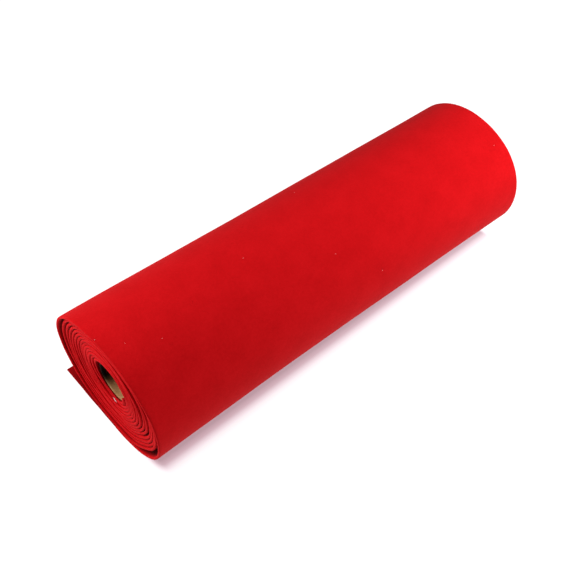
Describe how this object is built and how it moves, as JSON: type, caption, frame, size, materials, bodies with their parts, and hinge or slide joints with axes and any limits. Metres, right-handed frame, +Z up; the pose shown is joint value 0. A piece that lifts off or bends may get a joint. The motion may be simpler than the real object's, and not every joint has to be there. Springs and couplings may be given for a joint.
{
  "type": "roll of felt",
  "caption": "Roll of thick felt wound on a cardboard tube, lying on its side with its free end flat underneath.",
  "frame": {"origin": "on the floor, under the middle of the part's box", "axes": "+X along the roll from its loose end to its tight end, -Y to its front, +Z up"},
  "size_m": [0.454, 0.1626, 0.1328],
  "materials": {
    "felt": "matte, fine short fibres",
    "core": "matte, spiral wound"
  },
  "bodies": {
    "root": {"felt_roll": "felt", "core_tube": "core"}
  },
  "joints": []
}
